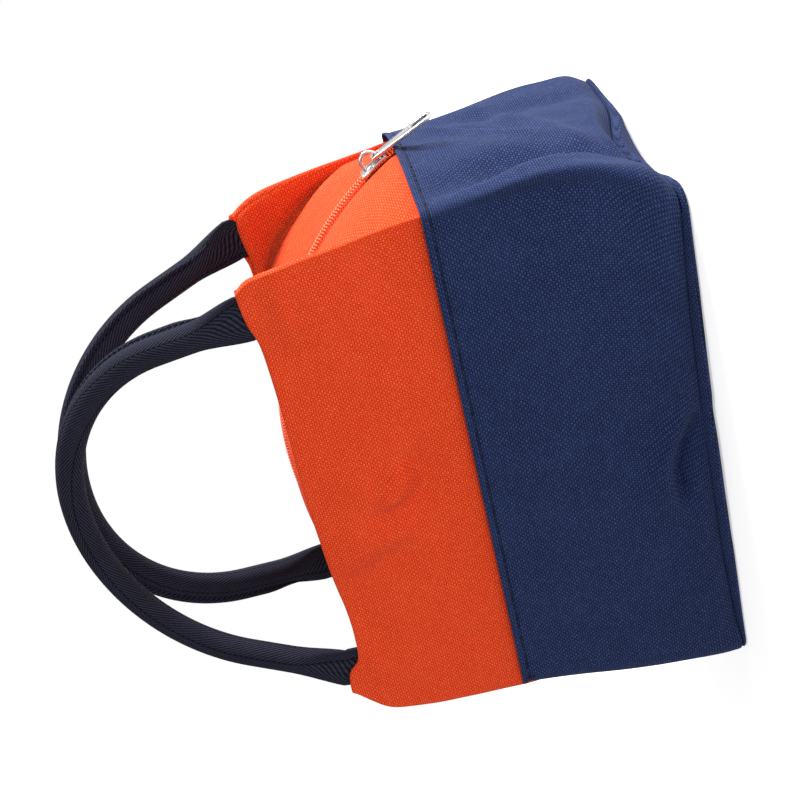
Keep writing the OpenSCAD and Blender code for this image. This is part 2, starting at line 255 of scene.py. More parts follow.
def herringboneMaterial(name):
    cloth = webbingCloth
    material, shader = newMaterial(name, {"Specular IOR Level": 0.07})
    uv, u, v = uvParts("cloth")
    stripe = u / (cloth["stripe"] * mm)
    arm = (stripe % 2 - 1).maths("ABSOLUTE")  # goes up and down across the webbing
    rib = fract(v / (cloth["ribAlong"] * mm) + arm * (cloth["stripe"] / cloth["ribAcross"]))
    ribHeight = 1 - ((rib - 0.5) * 2) ** 2
    yarn = fract(u / (cloth["yarn"] * mm))
    yarnHeight = 1 - ((yarn - 0.5) * 2) ** 2
    spine = 1 - ((arm - 0.5).maths("ABSOLUTE") * 2) ** 24  # a fine valley where two arms meet
    height = ribHeight * (0.72 + 0.28 * yarnHeight) * spine
    luck = cloudy(uv, 1.6)
    # painted shade: the ribs' low parts and the valley where two arms meet are darker, with random tone from
    # the noise
    shade = (height ** 1.5) * (0.55 + luck * 0.7) + (cloudy(uv, 14) - 0.5) * 0.2
    connect(
        shader, Base_Color=mixColour(shade, cloth["dark"], cloth["light"]), Roughness=0.72 + 0.2 * luck,
        Normal=bump(height, cloth["depth"], 0.9),
    )
    return material


def tapeMaterial(name, colour, dark):  # a fine zigzag weave, with painted shade in its dips
    material, shader = newMaterial(name, {"Specular IOR Level": 0.25})
    uv, u, v = uvParts("cloth")
    yarn, zigzag = 0.55 * mm, 2.6 * mm
    chevron = fract(u / yarn + (fract(v / zigzag) - 0.5).maths("ABSOLUTE") * 4)
    height = 1 - ((chevron - 0.5) * 2) ** 2
    # painted shade: the weave's dips darken towards the second colour, with a little random tone
    connect(
        shader, Base_Color=mixColour(height * 0.8 + cloudy(uv, 3) * 0.2, dark, colour),
        Roughness=0.8 - height * 0.12, Normal=bump(height, 0.12, 0.8),
    )
    return material


def threadMaterial(name, colour, dark):
    material, shader = newMaterial(name, {"Specular IOR Level": 0.1})
    place = objectPlace()
    twist = wire(
        "ShaderNodeTexWave", 1, {"bands_direction": "DIAGONAL"},
        {"Vector": place, "Scale": 520.0, "Distortion": 1.5, "Detail": 1.0},
    )
    # painted shade: the twist's grooves darken towards the second colour, with random tone from the noise
    connect(
        shader, Base_Color=mixColour(twist * 0.7 + cloudy(place, 4) * 0.3, dark, colour),
        Roughness=0.62 + twist * 0.18, Normal=bump(twist, 0.1, 0.6),
    )
    return material


def coilMaterial(name):
    material, shader = newMaterial(name, {"Specular IOR Level": 0.45})
    place = objectPlace()
    haze = cloudy(place, 6)
    connect(
        shader, Base_Color=mixColour(haze, (0.86, 0.085, 0.020, 1), (0.95, 0.14, 0.04, 1)),
        Roughness=0.34 + haze * 0.18, Normal=bump(cloudy(place, 0.7), 0.03, 0.4),
    )
    return material


def nickelMaterial(name):
    material, shader = newMaterial(name, {"Metallic": 1.0})
    place = objectPlace()
    cast = cloudy(place, 1.4, 5.0)
    scuff = cloudy(place, 0.35, 2.0)
    connect(
        shader, Base_Color=mixColour(cast, (0.42, 0.41, 0.41, 1), (0.58, 0.57, 0.56, 1)),
        Roughness=0.26 + scuff * 0.14, Normal=bump(cast, 0.01, 0.1),
    )
    return material


def foamMaterial(name, colour):
    material, shader = newMaterial(name, {"Subsurface Weight": 0.05})
    place = objectPlace()
    cells = wire("ShaderNodeTexVoronoi", 0, None, {"Vector": place, "Scale": 900.0})
    connect(
        shader, Base_Color=mixColour(cells, colour, tuple(c * 0.82 for c in colour[:3]) + (1,)),
        Roughness=0.8 + cells * 0.15, Normal=bump(cells, 0.25, 0.7),
    )
    return material


def foilMaterial(name):
    material, shader = newMaterial(name, {"Metallic": 1.0})
    place = objectPlace()
    crease = wire(
        "ShaderNodeTexVoronoi", 0, {"feature": "DISTANCE_TO_EDGE"}, {"Vector": place, "Scale": 85.0}
    )
    crumple = cloudy(place, 9, 6.0)
    connect(
        shader, Base_Color=mixColour(crumple, (0.62, 0.63, 0.65, 1), (0.78, 0.79, 0.80, 1)),
        Roughness=0.2 + crumple * 0.15, Normal=bump(crease * 2.0 + crumple, 0.5, 0.8),
    )
    return material


# painted shade along the band's topstitching groove
navyCanvas = canvasMaterial("navy_canvas", canvasCloth["navy"], bandTop - stitchDrop)
orangeCanvas = canvasMaterial("orange_canvas", canvasCloth["orange"])
darkWebbing = herringboneMaterial("dark_webbing")
# the second colour is the tape's dips in painted shade
orangeTape = tapeMaterial("orange_tape", (0.90, 0.17, 0.04, 1), (0.55, 0.07, 0.012, 1))
orangeCoil = coilMaterial("orange_coil")
# the second colour is the thread's twist grooves in painted shade
navyThread = threadMaterial("navy_thread", (0.010, 0.014, 0.038, 1), (0.003, 0.004, 0.012, 1))
nickel = nickelMaterial("nickel")
whiteFoam = foamMaterial("foam", (0.82, 0.82, 0.79, 1))
whitePadding = foamMaterial("padding", (0.74, 0.73, 0.69, 1))
silverFoil = foilMaterial("foil")
print("materials: canvas, webbing, tape, thread, coil, nickel, foam and foil")


def finishPiece(bm, name, material, closed=False):
    if closed:
        bmesh.ops.recalc_face_normals(bm, faces=bm.faces)
    for face in bm.faces:
        face.smooth = True
    mesh = bpy.data.meshes.new(name)
    bm.to_mesh(mesh)
    bm.free()
    mesh.materials.append(material)
    piece = bpy.data.objects.new(name, mesh)
    bpy.context.scene.collection.objects.link(piece)
    return piece


def clothGrid(columns, rows, place, joined=False):  # place gives a point and its spot in the weave
    bm = bmesh.new()
    uvLayer = bm.loops.layers.uv.new("cloth")
    bmesh.ops.create_grid(bm, x_segments=columns, y_segments=rows, size=0.5)
    weave = {}
    for vert in bm.verts:
        u, v = vert.co.x + 0.5, vert.co.y + 0.5
        point, weave[vert] = place(u, v)
        vert.co = point * mm
    for face in bm.faces:
        for loop in face.loops:
            loop[uvLayer].uv = [part * mm for part in weave[loop.vert]]
    if joined:
        bmesh.ops.remove_doubles(bm, verts=bm.verts, dist=0.01 * mm)
    return bm


def addThickness(piece, thickness, levels=1):
    wall = piece.modifiers.new("thickness", "SOLIDIFY")
    wall.thickness, wall.offset = thickness * mm, -1
    if levels:
        addRounding(piece, levels)


def addRounding(piece, levels=1):
    rounding = piece.modifiers.new("rounding", "SUBSURF")
    rounding.levels = rounding.render_levels = levels


def faceAway(bm, inside):  # turns a sheet so that its outer face looks away from a point inside
    bmesh.ops.recalc_face_normals(bm, faces=bm.faces)
    bm.normal_update()
    facing = sum(f.normal.dot(f.calc_center_median() - inside) * f.calc_area() for f in bm.faces)
    if facing < 0:
        bmesh.ops.reverse_faces(bm, faces=bm.faces)


def stitchRow(name, path, thread, material):  # small rounded stitches along a path
    bm = bmesh.new()
    lengths = [0.0]
    for a, b in zip(path, path[1:]):
        lengths.append(lengths[-1] + (b - a).length)

    def spot(distance):  # the point so far along the path
        k = min(len(path) - 2, max(0, bisect.bisect_right(lengths, distance) - 1))
        t = (distance - lengths[k]) / (lengths[k + 1] - lengths[k])
        return path[k].lerp(path[k + 1], t)

    count = int(lengths[-1] / (thread["stitch"] + thread["gap"]))
    step = lengths[-1] / count
    for k in range(count):
        start, end = spot(k * step), spot(k * step + thread["stitch"])
        turn = (end - start).to_track_quat("X", "Z").to_matrix().to_4x4()
        halfLength = (end - start).length / 2 + thread["overrun"]
        size = Matrix.Diagonal((halfLength, thread["width"] / 2, thread["width"] / 2, 1))
        bmesh.ops.create_uvsphere(
            bm, u_segments=6, v_segments=5, radius=mm,
            matrix=Matrix.Translation((start + end) / 2 * mm) @ turn @ size,
        )
    return finishPiece(bm, name, material)


zipAxisZ = joints["zip_travel"]["pos_m"][2] / mm
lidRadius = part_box("gusset_front")[1][2] / mm - zipAxisZ

bag = {  # each list is a curve through [height, size] points
    "canvas": 1.2,
    "bandLow": 5.0,  # where the band starts, before it follows the base seam
    "halfDepth": [[0, 73.6], [20, 70.6], [48, 64.9], [97, 54], [134, 50.8], [170, 48]],
    "halfLength": [[0, 110.8], [7, 112.4], [16, 113.4], [34, 113.9], [60, 112.6], [97, 112.6]],
    "nearLength": [  # at the front right corner
        [0, 100.5], [5, 105], [12, 111], [20, 115], [34, 118.6], [52, 119.2], [72, 116.6], [97, 113],
    ],
    "leftLength": [[0, 113.2], [16, 112.6], [40, 112.4], [60, 112.8], [97, 113]],  # at the front left corner
    "corner": [[0, 14], [10, 10], [26, 6], [45, 4.5], [75, 4], [97, 4]],  # radius
    "leftCorner": [[0, 8], [30, 8], [97, 5]],
    "sideBulge": 9.5,  # at the top of the band
    "frontSpan": 206, "cornerSpan": 18, "sideSpan": 122,  # how the way round is shared out
}
perimeter = 2 * bag["frontSpan"] + 4 * bag["cornerSpan"] + 2 * bag["sideSpan"]


def halfDepth(z):
    return along(bag["halfDepth"], z)


def fold(distance, width):  # a small step in the cloth, in on one side and out on the other
    return math.tanh(distance / width) * math.exp(-(distance / (width * 5.5)) ** 2)


def ridge(y, z, start, end, width):  # a soft ridge between two points of a wall
    ay, az = start
    dy, dz = end[0] - ay, end[1] - az
    t = ((y - ay) * dy + (z - az) * dz) / (dy * dy + dz * dz)
    off = math.hypot(y - ay - t * dy, z - az - t * dz)
    return math.exp(-(off / width) ** 2) * smooth(-0.25, 0.1, t) * (1 - smooth(0.9, 1.25, t))


frontWall = {
    "belly": 1.8, "cornerPull": 3.5,  # the middle swells, and the wall is pulled in beside the right corner
    "buckle": (-17, 21.7), "buckleDeep": 6.4,  # an arched buckle above the base
    "bow": (3, 135), "bowRadius": 11.5, "bowDeep": 3.6,  # a bowed crease in the upper panel
    "slant": (-29, 140), "slantDeep": 3.2,  # a slanting fold beside it
}


def frontRelief(x, z, seed):  # how far the front stands out from its plain shape
    out = 1.3 * ripple(x, z, 48, seed) + 0.5 * ripple(x, z, 17, seed + 5)
    out += frontWall["belly"] * math.cos(math.pi * x / 240) * math.sin(math.pi * min(1, z / bandTop))
    out -= frontWall["cornerPull"] * max(0, x / 112) ** 9 * math.exp(-((z - 48) / 30) ** 2)
    return out


def frontCreases(x, z):
    buckleX, buckleZ = frontWall["buckle"]
    arch = buckleZ - ((x - buckleX) / 8.2) ** 2
    out = frontWall["buckleDeep"] * fold(z - arch, 1.8) * smooth(-40, -20, x) * (1 - smooth(2, 16, x))
    bowX, bowZ = frontWall["bow"]
    away = math.hypot(x - bowX, z - bowZ)
    lower = smooth(-0.2, 0.8, -(z - bowZ) / max(away, 1) * 0.8 - (x - bowX) / max(away, 1) * 0.6)
    out -= frontWall["bowDeep"] * fold(away - frontWall["bowRadius"], 2.3) * lower
    slantX, slantZ = frontWall["slant"]
    slant = fold((x - slantX) * 0.8 + (z - slantZ) * 0.35, 4)
    return out + frontWall["slantDeep"] * slant * (1 - smooth(6, 26, abs(z - slantZ - 6)))


sideWall = {
    "valley": [[0, -43], [15, -41], [42, -37], [58, -35], [76, -37], [97, -42]],  # its y at each height
    "deep": [[0, 1], [12, 4.5], [30, 7.6], [60, 8.2], [82, 5.4], [97, 2.0]],
    "farValley": [[0, 40], [30, 36], [60, 37], [97, 44]],
    "farShare": 0.40,  # the valley at the back is shallower
    "ridges": [  # from y and z, to y and z, width, and how far it stands out
        ((26, 82), (-12, 42), 4.2, 2.6),
        ((-28, 26), (48, 54), 4.4, 2.2),
        ((-38, 14), (20, 11), 3.5, 1.5),
        ((34, 84), (4, 50), 4.5, -1.6),
        ((-53, 92), (-50, 28), 3.6, 2.2),
    ],
}


def sideRelief(y, z, seed, strength):
    valley, deep, farValley = (along(sideWall[key], z) for key in ("valley", "deep", "farValley"))
    out = -deep * math.exp(-((y - valley) / (8.5 if y < valley else 11.0)) ** 2) * strength
    out -= sideWall["farShare"] * deep * math.exp(-((y - farValley) / 8.5) ** 2)
    for start, end, width, rise in sideWall["ridges"]:
        out += rise * ridge(y, z, start, end, width) * strength
    return out + (1.3 * ripple(y, z, 30, seed) + 0.7 * ripple(y, z, 12, seed + 3))


baseSeam = {"low": 2.4, "frontLift": 3.2, "sideLift": 9.0, "sideSpread": 30, "rightShift": 18}


def seamHeight(x, y):  # the base seam is lifted between the corners
    alongFront = (1 - min(1, abs(x) / 104) ** 3) * smooth(55, 66, abs(y))
    fromPeak = (y + baseSeam["rightShift"]) if x > 0 else y
    alongSide = math.exp(-(fromPeak / baseSeam["sideSpread"]) ** 2) * smooth(85, 100, abs(x))
    return baseSeam["low"] + baseSeam["frontLift"] * alongFront + baseSeam["sideLift"] * alongSide


def cornerSwell(z):  # the corners stand out half way up the band
    return 1.6 * math.exp(-((z - 40) / 24) ** 2)


def bagPoint(s, z):  # a point and its outward direction; s runs once round, from the front left corner
    depth, corner = halfDepth(z), along(bag["corner"], z)
    length, near, left = (along(bag[key], z) for key in ("halfLength", "nearLength", "leftLength"))
    front, turn, side = bag["frontSpan"], bag["cornerSpan"], bag["sideSpan"]
    half = front + side + 2 * turn
    s %= perimeter
    flip = s >= half  # the back half repeats the front half, turned by 180 degrees
    s -= half if flip else 0
    calm = smooth(0, 9, z)  # wrinkles die out at the base seam
    hem = 1 - 0.65 * smooth(bandTop - 12, bandTop, z)  # the hem holds the cloth flatter
    sharp = along(bag["leftCorner"], z)  # the front left corner is tighter than the others
    if not flip and s < front:
        share = s / front
        x, y, out = -(left - sharp) * (1 - share) + (near - corner) * share, -depth, Vector((0, -1))
        t = share * 2 - 1
        relief = frontRelief(x, z, 2.0) * calm * hem * (1 - max(0, -t) ** 6) + frontCreases(x, z) * calm
    elif s < front:
        t = s / front * 2 - 1
        x, y, out = t * (length - corner), -depth, Vector((0, -1))
        relief = frontRelief(x, z, 31.0) * calm * hem * (1 - t ** 6)
    elif s < front + turn or s >= front + turn + side:
        first = s < front + turn
        corner = sharp if flip and not first else corner
        length = left if flip and not first else near if first and not flip else length
        a = math.radians(((s - front) / turn - 1) * 90 if first else (s - front - turn - side) / turn * 90)
        out = Vector((math.cos(a), math.sin(a)))
        x = length - corner + corner * out.x
        y = (corner - depth if first else depth - corner) + corner * out.y
        relief = cornerSwell(z) * (1 if first or flip else 0.4) * abs(math.cos(a))
        if first and not flip:
            relief += frontRelief(near - corner, z, 2.0) * calm * hem * abs(math.sin(a)) ** 2
    else:
        t = (s - front - turn) / side * 2 - 1
        far = sharp if flip else corner
        y = -(depth - corner) * (1 - t) / 2 + (depth - far) * (1 + t) / 2
        ends = (length, left) if flip else (near, length)
        x = ends[0] + (ends[1] - ends[0]) * smooth(-1, 0.4, t)
        x += bag["sideBulge"] * (z / bandTop) ** 1.5 * (1 - t * t)
        out = Vector((1, 0))
        seed, strength = (47.0, 0.75) if flip else (11.0, 1.0)
        relief = sideRelief(y, z, seed, strength) * calm * hem * (1 - t ** 16)
        relief -= 3.2 * (1 - t * t) * math.exp(-z / 9)  # tucked in above the base
        relief += cornerSwell(z) * t ** 8 * (1 if t < 0 or flip else 0.4)
    x, y = x + out.x * relief, y + out.y * relief
    if flip:
        x, y, out = -x, -y, -out
    return Vector((x, y, z)), Vector((out.x, out.y, 0))


lowerBand = {
    "columns": 240, "rows": 50,
    "turnUnder": 2.6, "roll": 0.9,  # the lower edge turns in under a soft roll
    "stitchGroove": 1.1, "grooveWidth": 1.1, "hemRise": 0.9,
    "pucker": 0.35, "puckerPitch": 4.2,
    "crowding": 0.35,  # how much closer the rows are near the folded top edge
}


def placeBand(u, v):
    s = u * perimeter
    low = bag["bandLow"]
    rise = (v + lowerBand["crowding"] * v * (1 - v)) if v < 1 else 1
    z = low + (bandTop - low) * rise
    point, out = bagPoint(s, z)
    nearSeam = 1 - smooth(0, 0.13, v)
    point.z = z - (low - seamHeight(point.x, point.y)) * nearSeam
    atLeft = smooth(92, 106, -point.x) * smooth(46, 60, -point.y)  # the front left corner turns under less
    point -= out * lowerBand["turnUnder"] * (1 - 0.7 * atLeft) * (1 - smooth(0, 0.07, v)) ** 1.5
    point += out * lowerBand["roll"] * (1 - atLeft) * math.exp(-((v - 0.07) / 0.05) ** 2)
    fromEdge = bandTop - z
    point += out * lowerBand["hemRise"] * (1 - smooth(3.0, 7.0, fromEdge))
    wave = math.sin(s * 2 * math.pi / lowerBand["puckerPitch"] + 2 * ripple(s, 0, 11, 4))
    pucker = lowerBand["pucker"] * wave
    groove = math.exp(-((fromEdge - stitchDrop) / lowerBand["grooveWidth"]) ** 2)
    point -= out * (lowerBand["stitchGroove"] + pucker) * groove
    return point, (s, z)


bm = clothGrid(lowerBand["columns"], lowerBand["rows"], placeBand, joined=True)
faceAway(bm, Vector((0, 0, 0.05)))
lowerBandPiece = finishPiece(bm, "lower_band_cloth", navyCanvas)
addThickness(lowerBandPiece, bag["canvas"])
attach(lowerBandPiece, "bag")
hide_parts("lower_band")

bandThread = {"stitch": 2.7, "gap": 0.7, "width": 0.75, "overrun": 0.15, "proud": 0.15, "pathPoints": 720}
stitchLift = lowerBand["hemRise"] * 0.9 - lowerBand["stitchGroove"] + bandThread["proud"]
stitchPath = []
for k in range(bandThread["pathPoints"] + 1):
    point, out = bagPoint(k / bandThread["pathPoints"] * perimeter, bandTop - stitchDrop)
    stitchPath.append(point + out * stitchLift)
topstitch = stitchRow("band_topstitching", stitchPath, bandThread, navyThread)
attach(topstitch, "bag")
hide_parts("band_topstitch")
print("lower band and its topstitching")


base = {
    "rows": 26, "thickness": 1.0, "clearance": 0.02,  # above the floor
    # the padded edge: how far in and how high it is, at each share of the way from the seam to the middle
    "inset": [[0, 3.6], [0.07, 2.2], [0.15, 1.5], [0.24, 1.6], [0.34, 2.6], [0.46, 4.6], [0.6, 7.2]],
    "height": [[0, 1.12], [0.07, 0.92], [0.15, 0.66], [0.24, 0.40], [0.34, 0.17], [0.46, 0.03], [0.6, 0.0]],
    "innerRow": 0.3,  # size of the innermost row beside that of the padded edge
}


def placeBase(u, v):  # v goes from the seam, round the padded edge and in to the middle
    point, out = bagPoint(u * perimeter, bag["bandLow"])
    seam = seamHeight(point.x, point.y)
    z = along(base["height"], v) * seam
    z += max(0, seam - bag["bandLow"]) * (1 - smooth(0.3, 0.8, v)) * (1 - z / max(seam, 0.1) * 0.9)
    ring = Vector((point.x, point.y, 0)) - out * along(base["inset"], v)
    edgeEnd = base["inset"][-1][0]
    if v > edgeEnd:
        ring = ring.lerp(ring * base["innerRow"], (v - edgeEnd) / (1 - edgeEnd))
    return Vector((ring.x, ring.y, max(z, base["clearance"]))), (ring.x * 1.02, ring.y * 1.02 + z)


bm = clothGrid(lowerBand["columns"], base["rows"], placeBase, joined=True)
innerEdge = [e for e in bm.edges if e.is_boundary and max(abs(v.co.z) for v in e.verts) < 0.5 * mm]
bmesh.ops.holes_fill(bm, edges=innerEdge, sides=0)
faceAway(bm, Vector((0, 0, 0.05)))
basePiece = finishPiece(bm, "base_panel_cloth", navyCanvas)
addThickness(basePiece, base["thickness"], levels=0)
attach(basePiece, "bag")
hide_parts("base_panel")
print("base panel")


upperPanel = {
    "columns": 110, "rows": 46,
    "tuck": 8,  # how far the panel goes down inside the band
    "sideRoll": 0.06, "topRoll": 0.10,  # shares of the grid that roll in at the sides and the top
    "rollFast": 1.4, "rollEnd": 3.0,  # the side roll ends early, and the rest lies flat inside
    "hem": 0.75, "hemDepth": 4.5,
    "lean": 1.6,  # of the open stretch between the handles
    # distance of a side edge from the middle, at each height; the back's other side is the same
    "rightBack": [
        [89, 109.6], [97, 109.2], [106, 108.4], [130, 106.6], [144, 105.6], [156, 103.6], [163, 100.8],
        [167, 98.2], [170.5, 95.4],
    ],
    "right": [
        [89, 111.6], [97, 112.2], [116, 109.8], [136, 107.0], [149, 105.3], [159, 103.6], [166, 102.0],
        [169, 100.2], [171, 97.6],
    ],
    "leftFront": [
        [89, 112.2], [97, 113.4], [127, 113.8], [150, 112.4], [157, 110.2], [163, 105.4], [168, 100.6],
        [170.5, 98.6],
    ],
    # height of the top edge from left to right
    "topFront": [
        [-101, 169.6], [-97, 169.9], [-87, 168.4], [-78, 163.6], [-66, 162.4], [-55, 162.7], [-42, 164.1],
        [-20, 165.4], [4, 166.4], [45, 166.1], [61, 166.4], [74, 167.2], [82, 169.2], [90, 170.3], [99, 170.8],
    ],
    "topBack": [
        [-100, 170.4], [-88, 169.8], [-77, 166.8], [-50, 165.6], [0, 166.2], [50, 165.8], [72, 166.3],
        [82, 168.8], [92, 169.9], [100, 169.2],
    ],
}


def earPly(x, z):  # space that a handle's flat end takes between the plies
    return smooth(100, 168, z) * (0.35 + 0.65 * (smooth(60, 76, abs(x)) - 0.5 * smooth(97, 104, abs(x))))


def panelSkin(x, z, back):  # distance of the outer face from the middle plane
    depth = halfDepth(z) - bag["canvas"] - 0.15
    free = smooth(bandTop - 1, bandTop + 16, z)  # the band and the handle ends hold the cloth flat
    free *= 1 - 0.7 * smooth(150, 166, z) * smooth(66, 76, abs(x))
    depth += free * (1.5 * ripple(x, z, 42, 21 if back else 2) + 0.6 * ripple(x, z, 15, 8))
    if not back:
        depth += free * frontCreases(x, z)
    depth -= upperPanel["lean"] * smooth(140, 166, z) * (1 - smooth(66, 84, abs(x)))
    overEnd = smooth(110, 150, z) * math.exp(-((abs(x) - 86) / 11) ** 2)
    depth += 0.5 * overEnd * (1 - 1.8 * smooth(156, 165, z))
    endShows = smooth(151, 155, z) * (1 - smooth(156, 163, z))  # the lower edge of the handle's flat end
    depth += 0.7 * endShows * math.exp(-((abs(x) - 85) / 10) ** 4)
    return depth


def panelEdge(z, side, back):
    if side < 0 and not back:
        return along(upperPanel["leftFront"], z)
    return along(upperPanel["rightBack" if back else "right"], z)


def panelTop(x, back):
    return along(upperPanel["topBack" if back else "topFront"], x)


def rollRadius(z):  # of an ear's side fold
    return 1.15 + 1.0 * smooth(97, 170, z)


def placePanel(u, v, back):
    bottom = bandTop - upperPanel["tuck"]
    sideRoll, topRoll = upperPanel["sideRoll"], upperPanel["topRoll"]
    a = (u - 0.5) * 2
    rolled = max(0, (abs(a) - (1 - sideRoll)) / sideRoll)
    a = max(-1, min(1, a / (1 - sideRoll)))
    b = min(1, v / (1 - topRoll))
    turned = max(0, (v - (1 - topRoll)) / topRoll)
    side = 1 if a > 0 else -1
    top = panelTop(a * 100, back)
    z = bottom + (top - bottom) * b
    edge = panelEdge(z, side, back)
    x = a * edge
    y = panelSkin(x, z, back)
    weave = (x, z)
    if turned > 0:  # hem at the top edge
        radius = upperPanel["hem"]
        angle = min(1, turned * 2) * math.pi
        z += radius * math.sin(angle) - upperPanel["hemDepth"] * max(0, turned - 0.5) * 2
        y -= radius * (1 - math.cos(angle))
        weave = (x, z + turned * 4)
    if rolled > 0:
        radius = rollRadius(z) * (1 - 0.6 * min(1, turned * 2))
        angle = min(1, rolled * upperPanel["rollFast"]) * math.pi
        x = side * (edge - radius + radius * math.sin(angle))
        y -= radius * (1 - math.cos(angle))
        rollDone = 1 / upperPanel["rollFast"]
        x -= side * upperPanel["rollEnd"] * max(0, rolled - rollDone) / (1 - rollDone)
        weave = (weave[0] + side * rolled * 5, weave[1])
    return Vector((x, y if back else -y, z)), weave


def makePanel(word, back):
    bm = clothGrid(upperPanel["columns"], upperPanel["rows"], lambda u, v: placePanel(u, v, back))
    faceAway(bm, Vector((0, 0, 0.13)))
    piece = finishPiece(bm, word + "_panel_cloth", orangeCanvas)
    addThickness(piece, bag["canvas"] * 0.85)
    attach(piece, "bag")
    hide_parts(word + "_upper_panel")
    return piece


makePanel("front", False)
makePanel("back", True)
print("front and back upper panels")


lid = {
    "columns": 150, "lidRows": 22, "plyRows": 10,
    "valleyCentre": 67.5, "valleyRadius": 114.7,
    "slot": 2.9,  # half the gap over the zip
    "foldIn": 0.9, "puff": 3.0,
    "endsDown": 3.5, "insideBand": 121.0,  # the ends go down inside the band
    "sideInset": 0.9, "topInset": 1.0,  # of the inner ply from the panel's outline
    "foldCurve": 3.5,  # how far from its edge the inner ply starts to curve out to meet the fold
}
lidEndZ = bandTop - lid["endsDown"]
valleyEnd = math.degrees(math.acos((lidEndZ - lid["valleyCentre"]) / lid["valleyRadius"]))
zipEnd = math.degrees(math.acos((lidEndZ - zipAxisZ) / lidRadius))


def insideOutline(x, z, back):  # how far a point of the inner ply is from its nearest edge
    fromSide = panelEdge(z, 1 if x > 0 else -1, back) - lid["sideInset"] - abs(x)
    return min(fromSide, panelTop(x, back) - lid["topInset"] - z)


def reachAlong(angle, back):  # how far a ray from the valley's centre goes to the inner ply's edge
    sine, cosine = math.sin(angle), math.cos(angle)
    near, far = 40.0, 150.0
    for halving in range(24):
        middle = (near + far) / 2
        within = insideOutline(middle * sine, lid["valleyCentre"] + middle * cosine, back) > 0
        near, far = (middle, far) if within else (near, middle)
    return near


def innerPly(x, z, back):  # distance of the ear's inner face from the middle plane
    near = 1 - min(1, max(0, insideOutline(x, z, back)) / lid["foldCurve"])
    gap = 2 * rollRadius(z) - 0.35 + 1.7 * earPly(x, z)
    return panelSkin(x, z, back) - 1.1 - (gap - 1.1) * math.sqrt(1 - near * near * 0.98)


def lidColumn(share, back):  # where one line across the lid starts, turns up and ends
    angle = math.radians(valleyEnd) * (share * 2 - 1)
    zipAngle = math.radians(zipEnd) * (share * 2 - 1)
    reach = reachAlong(angle, back)
    valley = min(lid["valleyRadius"], reach - 3.2)
    outward = Vector((math.sin(angle), math.cos(angle)))
    centre = Vector((0, lid["valleyCentre"]))
    atValley, atEdge = centre + outward * valley, centre + outward * reach
    radial = Vector((math.sin(zipAngle), math.cos(zipAngle)))
    atZip = Vector((0, zipAxisZ)) + radial * lidRadius
    return atZip, radial, atValley, atEdge, zipAngle


lidColumns = {}
for back in (False, True):
    lidColumns[back] = [lidColumn(k / lid["columns"], back) for k in range(lid["columns"] + 1)]


def placeLid(u, v, back):
    atZip, radial, atValley, atEdge, zipAngle = lidColumns[back][round(u * lid["columns"])]
    rows = lid["lidRows"] + lid["plyRows"]
    row = round(v * rows)
    run = zipAngle * lidRadius
    if row <= lid["lidRows"]:
        t = row / lid["lidRows"]
        yValley = innerPly(atValley.x, atValley.y, back)
        y = lid["slot"] + (yValley - lid["slot"]) * t
        spot = atZip.lerp(atValley, t ** 1.6)
        above = smooth(bandTop - 1, bandTop + 20, spot.y)
        puff = lid["puff"] * (math.sin(math.pi * t) ** 0.7 * (0.35 + 0.65 * t) if 0 < t < 1 else 0)
        puff += 0.8 * ripple(run, y, 26, 15 if back else 6)
        spot += radial * puff * above * smooth(0, 0.25, t)
        if row == 0:
            spot -= radial * lid["foldIn"]
        weave = (run, y)
    else:
        t = (row - lid["lidRows"]) / lid["plyRows"]
        spot = atValley.lerp(atEdge, t)
        y = innerPly(spot.x, spot.y, back)
        room = smooth(4, 12, (atEdge - atValley).length)
        y += math.sin(math.pi * min(1, t * 3)) * room  # a soft ridge just above the valley
        weave = (spot.x + 7, spot.y + 3)
    x, z = spot
    if z < bandTop + 0.6:
        limit = lid["insideBand"] - 9.0 * (y / 54) ** 2 - 0.25 * (bandTop - z)
        x = math.copysign(min(abs(x), limit), x)
    return Vector((x, y if back else -y, z)), weave


def makeLid(word, back):
    rows = lid["lidRows"] + lid["plyRows"]
    bm = clothGrid(lid["columns"], rows, lambda u, v: placeLid(u, v, back))
    faceAway(bm, Vector((0, 0, 0.06)))
    piece = finishPiece(bm, word + "_lid_cloth", orangeCanvas)
    addThickness(piece, bag["canvas"] * 0.8)
    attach(piece, "bag")
    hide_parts("gusset_" + word)
    return piece


makeLid("front", False)
makeLid("back", True)
print("lid halves")


zipper = {
    "tapeWidth": 12.5, "tapeStart": 0.55, "tapeDrop": 1.5, "tapeSlope": 0.5, "tapeThickness": 0.5,
    "tapeColumns": 90, "tapeRows": 8,
    "pitch": 1.45, "wire": 0.36, "loopInner": 0.45, "loopOuter": 2.65, "loopHeight": 0.62, "coilRise": 0.35,
    "turnPoints": 9,
    "tapeShare": 0.985, "coilShare": 0.98,  # of the lid's arch
}


def onZip(angle, radius, y):  # angle from the crown, in radians
    return Vector((radius * math.sin(angle), y, zipAxisZ + radius * math.cos(angle)))


def makeTape(word, way):
    radius = lidRadius - zipper["tapeDrop"]
    end = math.radians(zipEnd) * zipper["tapeShare"]

    def placeTape(u, v):
        angle = end * (u * 2 - 1)
        y = zipper["tapeStart"] + zipper["tapeWidth"] * v
        return onZip(angle, radius - zipper["tapeSlope"] * smooth(0.3, 1, v), way * y), (angle * radius, y)

    bm = clothGrid(zipper["tapeColumns"], zipper["tapeRows"], placeTape)
    faceAway(bm, Vector((0, 0, 0.03)))
    piece = finishPiece(bm, "zip_tape_cloth_" + word, orangeTape)
    addThickness(piece, zipper["tapeThickness"])
    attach(piece, "bag")
    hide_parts("zip_tape_" + word)


